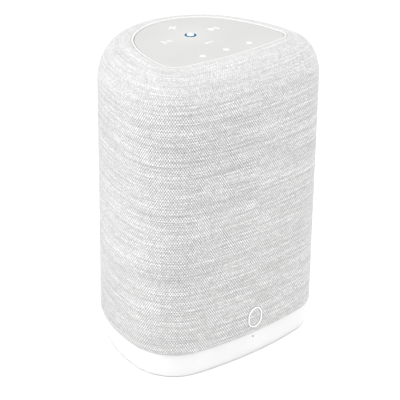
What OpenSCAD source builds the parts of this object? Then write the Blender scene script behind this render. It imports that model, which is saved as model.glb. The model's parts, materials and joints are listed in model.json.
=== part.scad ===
// Fabric-covered two-way smart speaker with a touch panel on top.
// Millimetres. +Z is up, the front faces -Y, and the origin lies on the table
// under the middle of the speaker.

/* [Body] */
// Overall height
body_h = 183; // [181:0.5:186]
// Sideways distance from the middle to the centre of a front corner
corner_x = 35.4; // [35:0.1:36.5]
// Radius of the front corners, seen from above
corner_r = 28.5; // [28.4:0.1:29]
// Distance from the front corners' centres to the centre of the back arc
back_offset = 17.6; // [17.4:0.1:18.5]
// Radius of the back, seen from above
back_r = 59.7; // [59.5:0.1:60.5]
// Radius of the slightly bowed front, seen from above
front_r = 234; // [225:1:245]
// Radius of the bowed sides, seen from above
side_r = 102; // [100:1:104]
// Length of the straight pieces that the outline is drawn with
outline_step = 5; // [4:0.5:7]

/* [Shoulder and top] */
// Height of the rounded shoulder
shoulder_h = 25; // [24:0.5:26]
// Exponent of the shoulder's curve, where 2 is an ellipse
shoulder_power = 2.29; // [2:0.01:2.5]
// Distance from the outline in to the edge of the fabric
rim_inset = 19.2; // [18.5:0.1:19.5]
// Steps in the shoulder's curve
shoulder_steps = 12; // [8:1:14]
// Width of the trim ring around the touch panel
trim_w = 1.3; // [1.2:0.1:1.8]
// Depth of the touch panel below the trim ring's lip
panel_drop = 0.3; // [0.2:0.1:0.5]
// Thickness of the touch panel
panel_t = 1.8; // [1.6:0.1:2]

/* [Base] */
// Height of the plain band under the fabric
base_h = 15.6; // [15.4:0.1:15.8]
// Distance that the band sits in from the fabric
base_inset = 1.3; // [1:0.1:1.6]
// Further distance in at the band's rounded lower edge
base_round = 2; // [1.5:0.1:2.4]
// Height over which the band's lower edge rounds in
base_round_h = 6.9; // [5:0.1:8]
// Thickness of the rubber foot
foot_t = 1.6; // [1.4:0.1:1.6]
// Radius of the quarter-inch thread's core in the underside
insert_bore_r = 2.6; // [2.5:0.1:2.8]

/* [Fabric and cage] */
// Thickness of the fabric sleeve
sleeve_t = 1; // [0.8:0.1:1]
// Thickness of the cage's wall
cage_t = 1.6; // [1.4:0.1:1.8]
// Width of a slot in the cage
slot_w = 11; // [8:1:12]
// Height of a slot in the cage
slot_h = 5; // [3:0.5:6]
// Number of slots across
slot_columns = 7; // [5:2:7]
// Number of slots from bottom to top
slot_rows = 15; // [10:1:15]

/* [Touch controls] */
// Sideways spacing of the touch icons
icon_dx = 17.2; // [16:0.1:18]
// Front-to-back spacing of the touch icons
icon_dy = 15.9; // [15:0.1:16.5]
// Distance of the lit ring's centre behind the middle
icon_y = 5.9; // [5:0.1:6.5]
// Distance of the preset marks in front of the middle
preset_y = 24.6; // [23.5:0.1:25]
// Outer radius of the lit ring
ring_r = 3.5; // [3.3:0.1:4]
// Width of the lit ring's line
ring_line = 1.1; // [0.9:0.1:1.3]
// Radius of a preset mark
preset_r = 1.8; // [1.6:0.1:2.2]
// Length of the bars in the plus and minus icons
icon_bar = 6; // [5:0.1:6.5]
// Width of the lines in the icons
icon_line = 1.2; // [1:0.1:1.4]

/* [Emblem] */
// Width of the plain pill-shaped badge
emblem_w = 10.6; // [9:0.1:12]
// Height of the badge
emblem_h = 13.2; // [12.6:0.1:14]
// Width of the badge's line
emblem_line = 1; // [0.8:0.1:1.2]
// Distance that the badge stands proud of the fabric
emblem_proud = 0.5; // [0.4:0.1:0.6]
// Height of the badge's middle
emblem_z = 26; // [25:0.5:28]

/* [Drivers] */
// Radius of the woofer's flange
woofer_r = 48.5; // [48:0.1:48.8]
// Height of the woofer's axis
woofer_z = 68; // [67.8:0.1:68.5]
// Radius of the tweeter's faceplate
tweeter_r = 19.5; // [19:0.1:19.8]
// Height of the tweeter's axis
tweeter_z = 137.5; // [137:0.1:138]
// Inner radius of the bass port
port_r = 8; // [7:0.1:8]
// Length of the bass port behind the baffle
port_len = 54; // [40:1:56]

/* [Hidden] */

$fn = 48;

// Plan outline: six arcs, each tangent to the next.
front_depth = sqrt(pow(front_r - corner_r, 2) - pow(corner_x, 2));
corner_y = (front_r - front_depth - back_offset - back_r + emblem_proud) / 2;
corner_c = [corner_x, corner_y];
back_c = [0, corner_y + back_offset];
front_c = [0, corner_y + front_depth];
front_y = front_c[1] - front_r;
corner_to_back = corner_c - back_c;
corner_gap = norm(corner_to_back);
corner_dir = corner_to_back / corner_gap;
side_along = (pow(side_r - back_r, 2) - pow(side_r - corner_r, 2) + pow(corner_gap, 2)) / (2 * corner_gap);
side_across = sqrt(pow(side_r - back_r, 2) - pow(side_along, 2));
side_c = back_c + side_along * corner_dir + side_across * [corner_dir[1], -corner_dir[0]];
front_turn = bearing(front_c, corner_c);
side_turn = bearing(side_c, corner_c);
back_turn = bearing(side_c, back_c);
front_steps = steps_of(front_r, -90, front_turn);
corner_steps = 2 * steps_of(corner_r, front_turn, side_turn);
side_steps = steps_of(side_r, side_turn, back_turn);
back_steps = steps_of(back_r, back_turn, 90);

// Heights, from the table up
plate_t = 3;
plate_z = foot_t;
band_z = 1;
sensor_z = 12.6;
cage_z = base_h + 0.2;
flange_t = 1.6;
cabinet_z = cage_z + flange_t + 0.2;
shoulder_z = body_h - shoulder_h;
fabric_top = body_h - 0.2;
panel_z = body_h - panel_drop - panel_t;
ledge_t = 0.9;
trim_z = panel_z - ledge_t;
board_t = 1.6;
touch_board_z = trim_z - board_t;
deck_t = 2.5;

// Insets from the outline
band_wall = 4.6;
cage_inset = sleeve_t + 0.1;
flange_inset = 20;
cabinet_inset = 5;
cabinet_wall = 2.5;
trim_inset = rim_inset + 0.2;
panel_inset = trim_inset + trim_w + 0.3;
lip_w = 0.7;

// Depths, from the front back
baffle_y = -38;
baffle_t = 4;
gasket_t = 1;
cabinet_y = baffle_y + baffle_t + gasket_t;
cabinet_back = 25;
main_board_y = 27;
psu_y = 42;
io_board_y = 26.5;
panel_face = 44;
panel_wall = 2;

// Rear panel
bay_w = 61;
bay_z0 = 18.6;
bay_z1 = 57.4;
bay_gap = 0.2;
inlet_at = [-14, 48];
ethernet_at = [14, 28];
usb_at = [-14, 28];
audio_at = [5, 48];
button_at = [18, 48];
rear_posts = [[-22, 38], [22, 38]];
button_r = 3;
button_gap = 0.05;
button_travel = 0.8;

// Fastener positions
base_posts = [[46, -26], [-46, -26], [36, 16], [-36, 16]];
deck_posts = [[44, -22], [-44, -22], [38, 10], [-38, 10]];
touch_posts = [[30, -20], [-30, -20], [0, 23]];
baffle_posts = [for (x = [-49.5, 49.5]) for (z = [24, 118, 152]) [x, z]];
board_posts = [for (x = [-34, 34]) for (z = [70, 146]) [x, z]];
psu_posts = [for (x = [-23, 23]) for (z = [67, 103]) [x, z]];
screw_r = 1.5;
small_screw_r = 1;
port_at = [37, 138];

// Woofer sizes, measured from the front face of the baffle
cutout_r = woofer_r - 3.5;
cone_rim_r = 35.6;
former_r = 13;
coil_r = 13.6;
pole_r = 12.1;
plate_z0 = -31;
plate_z1 = -27;
magnet_z = -44;
yoke_t = 5;

function bearing(from, to) = atan2(to[1] - from[1], to[0] - from[0]);
function reversed(list) = [for (i = [len(list) - 1 : -1 : 0]) list[i]];

// Points along an arc of n steps, its last point left out
function arc(centre, r, a0, a1, n) =
    [for (i = [0 : n - 1]) let (a = a0 + (a1 - a0) * i / n) centre + r * [cos(a), sin(a)]];

// Number of steps that an arc of the outline is drawn with
function steps_of(r, a0, a1) = ceil(PI * r / 180 * abs(a1 - a0) / outline_step);

// The outline seen from above, moved in by inset
function right_half(inset) = concat(
    arc(front_c, front_r - inset, -90, front_turn, front_steps),
    arc(corner_c, corner_r - inset, front_turn, side_turn, corner_steps),
    arc(side_c, side_r - inset, side_turn, back_turn, side_steps),
    arc(back_c, back_r - inset, back_turn, 90, back_steps)
);
function outline(inset) =
    let (half = right_half(inset), n = len(half))
    concat(
        half,
        [[0, back_c[1] + back_r - inset]],
        [for (i = [n - 1 : -1 : 1]) [-half[i][0], half[i][1]]]
    );

// Profile of the shoulder as [inset, height] points
function shoulder(inset, top) = [
    for (i = [0 : shoulder_steps])
    let (a = 90 * i / shoulder_steps)
    [
        inset + (rim_inset - inset) * (1 - pow(cos(a), 2 / shoulder_power)),
        shoulder_z + (top - shoulder_z) * pow(sin(a), 2 / shoulder_power)
    ]
];

// Half of a circle as [radius, height] points, for rolls and domes
function roll(mid, z, r, a0, a1, n) =
    [for (i = [0 : n]) let (a = a0 + (a1 - a0) * i / n) [mid + r * cos(a), z + r * sin(a)]];

// A closed profile of [inset, height] points carried round the outline
module outline_ring(profile) {
    n = len(outline(0));
    m = len(profile);
    points = [for (p = profile) for (q = outline(p[0])) [q[0], q[1], p[1]]];
    faces = [
        for (j = [0 : m - 1])
        for (i = [0 : n - 1])
        let (k = (j + 1) % m, l = (i + 1) % n)
        [j * n + i, k * n + i, k * n + l, j * n + l]
    ];
    polyhedron(points, faces);
}

// A flat plate with the outline's shape
module outline_plate(inset, z0, z1) {
    translate([0, 0, z0]) linear_extrude(z1 - z0) polygon(outline(inset));
}

// A wall between two insets
module outline_wall(outer, inner, z0, z1) {
    translate([0, 0, z0]) linear_extrude(z1 - z0) difference() {
        polygon(outline(outer));
        polygon(outline(inner));
    }
}

// The part of a plate between two depths
module outline_slab(inset, z0, z1, y0, y1) {
    intersection() {
        outline_plate(inset, z0, z1);
        translate([-100, y0, z0 - 1]) cube([200, y1 - y0, z1 - z0 + 2]);
    }
}

// A block given by its lowest and highest corners
module block(low, high) {
    translate(low) cube(high - low);
}

// Turns a shape built along +Z so that it points forward from the baffle
module on_baffle(x, z) {
    translate([x, baffle_y, z]) rotate([90, 0, 0]) children();
}

// Turns a shape built along +Z so that it points backward from depth y
module facing_back(x, y, z) {
    translate([x, y, z]) rotate([-90, 0, 0]) children();
}

// A screw whose head stands above z = 0 and whose shank goes down from it
module screw(shank_r, shank_len, head_r, head_h) {
    difference() {
        union() {
            cylinder(r = head_r, h = head_h, $fn = 24);
            translate([0, 0, -shank_len]) cylinder(r = shank_r, h = shank_len + 0.01, $fn = 24);
        }
        for (a = [0, 90])
            rotate(a) translate([-head_r * 0.6, -head_r * 0.12, head_h * 0.4])
                cube([head_r * 1.2, head_r * 0.24, head_h]);
    }
}

// A flat pill shape standing on its end
module pill(w, h) {
    square([w, h - w], center = true);
    for (s = [-1, 1])
        translate([0, s * (h - w) / 2]) circle(d = w);
}

module ring(outer, inner, h) {
    difference() {
        cylinder(r = outer, h = h);
        translate([0, 0, -1]) cylinder(r = inner, h = h + 2);
    }
}

// Outer shells

module fabric_sleeve() {
    color("gainsboro") difference() {
        outline_ring(concat(
            [[0, base_h + 0.1]],
            shoulder(0, fabric_top),
            reversed(shoulder(sleeve_t, fabric_top - sleeve_t)),
            [[sleeve_t, base_h + 0.1]]
        ));
        block(
            [-bay_w / 2 - bay_gap, 30, bay_z0 - bay_gap],
            [bay_w / 2 + bay_gap, 70, bay_z1 + bay_gap]
        );
    }
}

module grille_frame() {
    pitch_x = slot_w + 3;
    pitch_z = (shoulder_z - cage_z - 6) / slot_rows;
    color("silver") difference() {
        union() {
            outline_wall(cage_inset, cage_inset + cage_t, cage_z, shoulder_z);
            outline_wall(cage_inset, flange_inset, cage_z, cage_z + flange_t);
        }
        for (row = [0 : slot_rows - 1])
            for (column = [0 : slot_columns - 1])
                translate([
                    (column - (slot_columns - 1) / 2) * pitch_x - slot_w / 2,
                    front_y - 1,
                    cage_z + 5 + row * pitch_z
                ])
                    cube([slot_w, 20, slot_h]);
        block(
            [-bay_w / 2 - bay_gap, 30, bay_z0 - bay_gap],
            [bay_w / 2 + bay_gap, 70, bay_z1 + bay_gap]
        );
        for (p = base_posts)
            translate([p[0], p[1], cage_z - 1]) cylinder(r = screw_r + 0.1, h = flange_t + 2);
    }
}

module top_cap() {
    shelf = trim_inset + 1.6;
    shelf_t = 1.6;
    color("lightgray") outline_ring(concat(
        shoulder(cage_inset, fabric_top - sleeve_t - 0.1),
        [
            [rim_inset, trim_z - 0.1],
            [shelf, trim_z - 0.1],
            [shelf, trim_z - shelf_t]
        ],
        reversed(shoulder(cage_inset + 2, trim_z - shelf_t))
    ));
}

module top_trim_ring() {
    inner = trim_inset + trim_w;
    color("white") outline_ring([
        [trim_inset, trim_z],
        [trim_inset, body_h - 0.25],
        [trim_inset + 0.2, body_h],
        [trim_inset + lip_w, body_h],
        [inner, panel_z + panel_t + 0.1],
        [inner, panel_z],
        [inner + 2, panel_z],
        [inner + 2, trim_z]
    ]);
}

module base_ring() {
    bottom = [
        for (i = [0 : 6])
        let (a = 90 * i / 6)
        [base_inset + base_round * (1 - sin(a)), band_z + base_round_h * (1 - cos(a))]
    ];
    color("white") difference() {
        outline_ring(concat(bottom, [
            [base_inset, base_h - 0.4],
            [base_inset + 0.4, base_h],
            [band_wall, base_h],
            [band_wall, band_z]
        ]));
        facing_back(0, front_y - 1, sensor_z) cylinder(r = 0.6, h = 10, $fn = 24);
    }
}

module base_plate() {
    color("dimgray") difference() {
        union() {
            outline_plate(band_wall + 0.1, plate_z, plate_z + plate_t);
            cylinder(r = 9, h = 13);
            for (p = base_posts)
                translate([p[0], p[1], plate_z + 1]) cylinder(r = 4, h = base_h - plate_z - 1);
        }
        translate([0, 0, -1]) cylinder(r = 9.5, h = plate_z + 1);
        translate([0, 0, -1]) cylinder(r = 5, h = 12);
        for (p = base_posts)
            translate([p[0], p[1], 0]) {
                cylinder(r = screw_r + 0.1, h = 20);
                cylinder(r = 3, h = plate_z + 1.6);
            }
    }
}

module foot_pad() {
    color("darkgray") difference() {
        outline_plate(9, 0, foot_t);
        translate([0, 0, -1]) cylinder(r = 8, h = foot_t + 2);
    }
}

module threaded_insert() {
    color("goldenrod") difference() {
        union() {
            translate([0, 0, plate_z]) cylinder(r = 5, h = 11 - plate_z);
        }
        translate([0, 0, plate_z - 1]) cylinder(r = insert_bore_r, h = 12);
    }
}

module base_screws() {
    color("gray")
        for (p = base_posts)
            translate([p[0], p[1], plate_z + 1.6]) rotate([180, 0, 0])
                screw(screw_r, cabinet_z + 2 - plate_z - 1.6, 2.8, 1.4);
}

module emblem() {
    color("whitesmoke")
        translate([0, front_y, emblem_z]) rotate([90, 0, 0]) linear_extrude(emblem_proud) difference() {
            pill(emblem_w, emblem_h);
            pill(emblem_w - 2 * emblem_line, emblem_h - 2 * emblem_line);
        }
}

module sensor_lens() {
    color("black")
        facing_back(0, front_y + base_inset - 0.05, sensor_z) cylinder(r = 0.55, h = 4.05, $fn = 24);
}

module sensor_board() {
    color("darkgreen")
        block(
            [-8, front_y + base_inset + 4, sensor_z - 3.2],
            [8, front_y + base_inset + 5.2, sensor_z + 3.2]
        );
}

// Touch controls

module skip_icon() {
    half = icon_bar / 2;
    polygon([[-half, -half * 0.8], [-half, half * 0.8], [half - icon_line - 0.4, 0]]);
    translate([half - icon_line, -half * 0.8]) square([icon_line, half * 1.6]);
}

module icon_shapes() {
    translate([0, icon_y + icon_dy]) {
        square([icon_bar, icon_line], center = true);
        square([icon_line, icon_bar], center = true);
    }
    translate([0, icon_y - icon_dy]) square([icon_bar, icon_line], center = true);
    translate([icon_dx, icon_y]) skip_icon();
    translate([-icon_dx, icon_y]) mirror([1, 0]) skip_icon();
    for (i = [-1 : 1])
        translate([i * icon_dx, -preset_y]) circle(r = preset_r);
}

module touch_panel() {
    top = panel_z + panel_t;
    color("whitesmoke") difference() {
        outline_plate(panel_inset, panel_z, top);
        translate([0, 0, top - 0.8]) linear_extrude(1) icon_shapes();
        translate([0, icon_y, panel_z - 1]) ring(ring_r, ring_r - ring_line, panel_t + 2);
    }
}

module touch_icons() {
    color("white")
        translate([0, 0, panel_z + panel_t - 0.8]) linear_extrude(0.85) icon_shapes();
}

module status_ring() {
    color("deepskyblue")
        translate([0, icon_y, panel_z]) ring(ring_r, ring_r - ring_line, panel_t + 0.05);
}

module touch_board() {
    color("darkgreen") difference() {
        outline_plate(panel_inset + 0.8, touch_board_z, touch_board_z + board_t);
        for (p = touch_posts)
            translate([p[0], p[1], touch_board_z - 1]) cylinder(r = 1.6, h = 4);
    }
}

module ring_leds() {
    color("white")
        for (a = [45 : 90 : 315])
            translate([0, icon_y, touch_board_z + board_t]) rotate(a)
                translate([ring_r - ring_line - 0.5, -0.8, 0]) cube([1.6, 1.6, 0.7]);
}

module top_deck() {
    color("dimgray") difference() {
        union() {
            outline_plate(cage_inset + 2.3, shoulder_z, shoulder_z + deck_t);
            for (p = touch_posts)
                translate([p[0], p[1], shoulder_z + 1]) {
                    cylinder(r = 3, h = touch_board_z - shoulder_z - 1);
                    cylinder(r = 1.5, h = touch_board_z - shoulder_z + board_t - 1);
                }
        }
        for (p = deck_posts)
            translate([p[0], p[1], shoulder_z - 1]) cylinder(r = screw_r + 0.1, h = deck_t + 2);
    }
}

module deck_screws() {
    color("gray")
        for (p = deck_posts)
            translate([p[0], p[1], shoulder_z + deck_t]) screw(screw_r, deck_t + 2, 2.8, 1.8);
}

module antennas() {
    z = shoulder_z + deck_t;
    color("saddlebrown")
        for (s = [-1, 1])
            block([s * 42 - 0.5, -8, z], [s * 42 + 0.5, 10, z + 10]);
}

// Cabinet

module front_baffle() {
    color("dimgray") difference() {
        outline_slab(cabinet_inset, cabinet_z, shoulder_z, baffle_y, baffle_y + baffle_t);
        on_baffle(0, woofer_z) {
            translate([0, 0, -10]) cylinder(r = cutout_r, h = 20);
            for (a = [45 : 90 : 315])
                rotate(a) translate([woofer_r - 1.9, 0, -10]) cylinder(r = small_screw_r, h = 20, $fn = 24);
        }
        on_baffle(0, tweeter_z) {
            translate([0, 0, -10]) cylinder(r = 15.6, h = 20);
            for (a = [90 : 120 : 330])
                rotate(a) translate([tweeter_r - 1.8, 0, -3.5]) cylinder(r = 0.9, h = 20, $fn = 24);
        }
        on_baffle(port_at[0], port_at[1])
            translate([0, 0, -10]) cylinder(r = port_r + 1.5, h = 20);
        for (p = baffle_posts)
            on_baffle(p[0], p[1]) translate([0, 0, -10]) cylinder(r = screw_r, h = 20, $fn = 24);
    }
}

module cabinet_gasket() {
    color("black") difference() {
        outline_slab(cabinet_inset, cabinet_z, shoulder_z, cabinet_y - gasket_t, cabinet_y);
        outline_slab(
            cabinet_inset + cabinet_wall, cabinet_z + cabinet_wall, shoulder_z - cabinet_wall,
            cabinet_y - gasket_t - 1, cabinet_y + 1
        );
    }
}

module cabinet_shell() {
    color("slategray") difference() {
        union() {
            difference() {
                outline_slab(cabinet_inset, cabinet_z, shoulder_z, cabinet_y, cabinet_back);
                outline_slab(
                    cabinet_inset + cabinet_wall, cabinet_z + cabinet_wall, shoulder_z - cabinet_wall,
                    cabinet_y - 1, cabinet_back - cabinet_wall
                );
            }
            intersection() {
                outline_slab(cabinet_inset + 1, cabinet_z + 1, shoulder_z - 1, cabinet_y, 0);
                for (p = baffle_posts) {
                    facing_back(p[0], cabinet_y, p[1]) cylinder(r = 3.2, h = 14);
                    block(
                        [p[0] > 0 ? p[0] : p[0] - 10, cabinet_y, p[1] - 1],
                        [p[0] > 0 ? p[0] + 10 : p[0], cabinet_y + 14, p[1] + 1]
                    );
                }
            }
            for (p = rear_posts)
                facing_back(p[0], cabinet_back - 1, p[1])
                    cylinder(r = 3, h = panel_face - panel_wall - cabinet_back + 1);
            for (p = board_posts)
                facing_back(p[0], cabinet_back - 1, p[1])
                    cylinder(r = 3, h = main_board_y - cabinet_back + 1);
        }
        for (p = baffle_posts)
            facing_back(p[0], cabinet_y - 1, p[1]) cylinder(r = screw_r, h = 11, $fn = 24);
        for (p = rear_posts)
            facing_back(p[0], panel_face - panel_wall - 8, p[1]) cylinder(r = screw_r, h = 10, $fn = 24);
        for (p = board_posts)
            facing_back(p[0], main_board_y - 4, p[1]) cylinder(r = screw_r, h = 6, $fn = 24);
        for (p = base_posts)
            translate([p[0], p[1], cabinet_z - 1]) cylinder(r = screw_r, h = 3, $fn = 24);
        for (p = deck_posts)
            translate([p[0], p[1], shoulder_z - 2]) cylinder(r = screw_r, h = 3, $fn = 24);
        for (x = [-3, 3])
            facing_back(x, cabinet_back - 5, 106) cylinder(r = 0.8, h = 6, $fn = 24);
    }
}

module baffle_screws() {
    color("gray")
        for (p = baffle_posts)
            on_baffle(p[0], p[1]) screw(screw_r, baffle_t + gasket_t + 8, 2.8, 1.6);
}

module bass_port() {
    color("dimgray")
        on_baffle(port_at[0], port_at[1]) rotate_extrude() polygon([
            [port_r, -port_len],
            [port_r + 1.5, -port_len],
            [port_r + 1.5, 0],
            [port_r + 4, 0],
            [port_r + 4, 1],
            [port_r + 3.4, 1.6],
            [port_r + 2, 1.2],
            [port_r + 0.6, -0.6],
            [port_r, -3]
        ]);
}

module damping_foam() {
    color("lightyellow") block([-40, 0, 122], [22, 21, 150]);
}

// Woofer

module woofer_basket() {
    color("darkslategray") on_baffle(0, woofer_z) difference() {
        rotate_extrude() polygon([
            [woofer_r, 0], [woofer_r, 2.5], [cutout_r, 2.5], [cutout_r, 0.01],
            [41, 0.01], [41, -2], [28, -19], [28, -20],
            [26, -20], [26, -25], [16, -25], [16, plate_z1],
            [31, plate_z1], [31, -21], [43.5, -3.2], [cutout_r - 0.2, -3.2], [cutout_r - 0.2, 0]
        ]);
        for (a = [0 : 60 : 300])
            rotate(a) block([30, -11, -17], [50, 11, -5]);
        for (a = [45 : 90 : 315])
            rotate(a) translate([woofer_r - 1.9, 0, -1]) cylinder(r = small_screw_r, h = 5, $fn = 24);
    }
}

module woofer_cone() {
    color("black") on_baffle(0, woofer_z) rotate_extrude() polygon([
        [former_r, -15.2], [former_r, -14.2], [34.4, 0], [cone_rim_r, 0],
        [cone_rim_r, -0.7], [34.7, -0.7]
    ]);
}

module woofer_dust_cap() {
    rim = 14.4;
    steps = 8;
    color("black") on_baffle(0, woofer_z) rotate_extrude() polygon(concat(
        [for (i = [0 : steps]) let (r = rim * i / steps) [r, -8 - 4.6 * pow(r / rim, 2)]],
        [for (i = [steps : -1 : 0]) let (r = rim * i / steps) [r, -8.6 - 4.6 * pow(r / rim, 2)]]
    ));
}

module coil_former() {
    color("peru") on_baffle(0, woofer_z) translate([0, 0, -37]) ring(former_r, 12.6, 22.6);
}

module voice_coil() {
    color("chocolate") on_baffle(0, woofer_z) translate([0, 0, -34]) ring(coil_r, former_r, 10);
}

module woofer_surround() {
    middle = 38.4;
    color("black") on_baffle(0, woofer_z) rotate_extrude() polygon(concat(
        [[34, 0.01], [34, 0.7]],
        roll(middle, 0.7, 2.9, 180, 0, 12),
        [[cutout_r - 0.2, 0.7], [cutout_r - 0.2, 0.01]],
        roll(middle, 0.01, 2.2, 0, 180, 10)
    ));
}

module woofer_spider() {
    steps = 28;
    waves = 4;
    span = 12.8;
    t = 0.5;
    z = -19.9;
    rim = 27.8;
    face = [
        for (i = [0 : steps])
        [former_r + span * i / steps, z + 0.5 - 0.5 * cos(360 * waves * i / steps)]
    ];
    color("goldenrod") on_baffle(0, woofer_z) rotate_extrude() polygon(concat(
        face,
        [[rim, z], [rim, z + t]],
        [for (p = reversed(face)) [p[0], p[1] + t]]
    ));
}

module woofer_top_plate() {
    color("silver") on_baffle(0, woofer_z) translate([0, 0, plate_z0]) ring(30, 14.1, plate_z1 - plate_z0);
}

module woofer_magnet() {
    color("dimgray") on_baffle(0, woofer_z) translate([0, 0, magnet_z]) ring(34, 17, plate_z0 - magnet_z);
}

module woofer_yoke() {
    color("silver") on_baffle(0, woofer_z) difference() {
        union() {
            translate([0, 0, magnet_z - yoke_t]) cylinder(r = 31, h = yoke_t);
            translate([0, 0, magnet_z - 1]) cylinder(r = pole_r, h = plate_z1 - magnet_z + 0.5);
        }
        translate([0, 0, magnet_z - yoke_t - 1]) cylinder(r = 4, h = 40);
    }
}

module speaker_leads() {
    color("red")
        for (x = [-3, 3])
            facing_back(x, -20, 106) cylinder(r = 0.8, h = main_board_y + 20, $fn = 24);
}

// Tweeter

module tweeter_faceplate() {
    color("dimgray") on_baffle(0, tweeter_z) difference() {
        rotate_extrude() polygon([
            [13.2, 0], [tweeter_r, 0], [tweeter_r, 2.4], [tweeter_r - 0.6, 3],
            [16, 3], [14.3, 1.9], [13.4, 0.9]
        ]);
        for (a = [90 : 120 : 330])
            rotate(a) translate([tweeter_r - 1.8, 0, -1]) cylinder(r = 0.9, h = 6, $fn = 24);
    }
}

module tweeter_dome() {
    steps = 8;
    rim = 11.3;
    color("black") on_baffle(0, tweeter_z) rotate_extrude() polygon(concat(
        [for (i = [0 : steps]) let (r = rim * i / steps) [r, 4.6 - 4 * pow(r / rim, 2)]],
        [[11.6, 0.6], [11.6, -5.4], [11.3, -5.4]],
        [for (i = [steps : -1 : 0]) let (r = rim * i / steps) [r, 4.2 - 4 * pow(r / rim, 2)]]
    ));
}

module tweeter_magnet() {
    color("silver") on_baffle(0, tweeter_z) {
        translate([0, 0, -11.5]) cylinder(r = 10, h = 7);
        translate([0, 0, -4.5]) cylinder(r = 10.8, h = 2.5);
    }
}

module tweeter_yoke() {
    color("dimgray") on_baffle(0, tweeter_z) translate([0, 0, -14]) difference() {
        cylinder(r = 15, h = 14);
        translate([0, 0, 2.5]) cylinder(r = 12.2, h = 20);
    }
}

module driver_screws() {
    color("gray") {
        on_baffle(0, woofer_z)
            for (a = [45 : 90 : 315])
                rotate(a) translate([woofer_r - 1.9, 0, 2.5]) screw(small_screw_r, 6, 1.8, 1.1);
        on_baffle(0, tweeter_z)
            for (a = [90 : 120 : 330])
                rotate(a) translate([tweeter_r - 1.8, 0, 3]) screw(0.9, 6, 1.5, 0.9);
    }
}

// Electronics

module main_board() {
    color("darkgreen") difference() {
        block([-38, main_board_y, 66], [38, main_board_y + board_t, 150]);
        for (p = board_posts)
            facing_back(p[0], main_board_y - 1, p[1]) cylinder(r = screw_r + 0.1, h = 4);
    }
}

module board_screws() {
    color("gray")
        for (p = board_posts)
            facing_back(p[0], main_board_y + board_t, p[1]) screw(screw_r, board_t + 4, 2.5, 1.5);
}

module heatsink() {
    color("silver") {
        block([-31, main_board_y + board_t, 112], [-5, main_board_y + board_t + 2.5, 140]);
        for (i = [0 : 6])
            translate([-31 + i * 4, main_board_y + board_t + 2, 112]) cube([1.6, 8, 28]);
    }
}

module wifi_module() {
    color("lightgray") block([6, main_board_y + board_t, 116], [30, main_board_y + board_t + 2.6, 140]);
}

module psu_board() {
    color("peru") difference() {
        block([-27, psu_y, 62], [27, psu_y + board_t, 108]);
        for (p = psu_posts)
            facing_back(p[0], psu_y - 1, p[1]) cylinder(r = 1.2, h = 4);
    }
}

module psu_standoffs() {
    y = main_board_y + board_t;
    color("goldenrod")
        for (p = psu_posts) {
            facing_back(p[0], y, p[1]) cylinder(r = 2.5, h = psu_y - y, $fn = 6);
            facing_back(p[0], psu_y - 0.5, p[1]) cylinder(r = 1.2, h = board_t + 1.3);
        }
}

module psu_transformer() {
    color("gold") {
        block([-19, psu_y - 9, 78], [3, psu_y, 96]);
        block([-15, psu_y - 11.5, 80], [-1, psu_y - 8.9, 94]);
    }
}

module psu_capacitors() {
    color("midnightblue")
        for (z = [72, 86, 99])
            facing_back(12, psu_y - 11, z) cylinder(r = 5, h = 11);
}

// Rear panel

module bay_frame() {
    wall = 2;
    color("whitesmoke") difference() {
        intersection() {
            outline_plate(0.3, bay_z0, bay_z1);
            block([-bay_w / 2, panel_face, bay_z0], [bay_w / 2, 70, bay_z1]);
        }
        block([-bay_w / 2 + wall, panel_face - 1, bay_z0 + wall], [bay_w / 2 - wall, 71, bay_z1 - wall]);
    }
}

module rear_panel() {
    color("whitesmoke") difference() {
        block([-bay_w / 2, panel_face - panel_wall, bay_z0], [bay_w / 2, panel_face, bay_z1]);
        translate([inlet_at[0] - 10, 40, inlet_at[1] - 6.2]) cube([20, 6, 12.4]);
        translate([ethernet_at[0] - 8.1, 40, ethernet_at[1] - 6.8]) cube([16.2, 6, 13.6]);
        translate([usb_at[0] - 6.7, 40, usb_at[1] - 3]) cube([13.4, 6, 6]);
        facing_back(audio_at[0], 40, audio_at[1]) cylinder(r = 4, h = 6);
        facing_back(button_at[0], 40, button_at[1]) cylinder(r = button_r + button_gap, h = 6);
        for (p = rear_posts)
            facing_back(p[0], 40, p[1]) cylinder(r = screw_r, h = 6, $fn = 24);
    }
}

module rear_panel_screws() {
    color("gray")
        for (p = rear_posts)
            facing_back(p[0], panel_face, p[1]) screw(screw_r, panel_wall + 7, 2.5, 1.2);
}

module mains_inlet() {
    color("black") difference() {
        union() {
            translate([inlet_at[0] - 9.9, 30, inlet_at[1] - 6.1]) cube([19.8, 14, 12.2]);
            translate([inlet_at[0] - 12, 44, inlet_at[1] - 7]) cube([24, 1.5, 14]);
        }
        facing_back(inlet_at[0], 32.5, inlet_at[1]) linear_extrude(20) rotate(90) pill(8.6, 15.6);
        for (x = [-4.3, 4.3])
            facing_back(inlet_at[0] + x, 29, inlet_at[1]) cylinder(r = 1.2, h = 5, $fn = 24);
    }
}

module mains_pins() {
    color("silver")
        for (x = [-4.3, 4.3])
            facing_back(inlet_at[0] + x, 28.6, inlet_at[1]) cylinder(r = 1.2, h = 13.4, $fn = 24);
}

module ethernet_jack() {
    color("silver") translate([ethernet_at[0], io_board_y + board_t, ethernet_at[1]]) difference() {
        translate([-8, 0, -6.7]) cube([16, 16.4, 13.4]);
        translate([-5.9, 3, -4.4]) cube([11.8, 20, 8.2]);
        translate([-3, 3, 3.7]) cube([6, 20, 1.8]);
    }
}

module usb_jack() {
    color("silver") translate([usb_at[0], io_board_y + board_t, usb_at[1]]) {
        difference() {
            translate([-6.6, 0, -2.9]) cube([13.2, 16.4, 5.8]);
            translate([-6.2, 2, -2.5]) cube([12.4, 20, 5]);
        }
        translate([-5.6, 1, 0.4]) cube([11.2, 14.5, 1.8]);
    }
}

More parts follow.
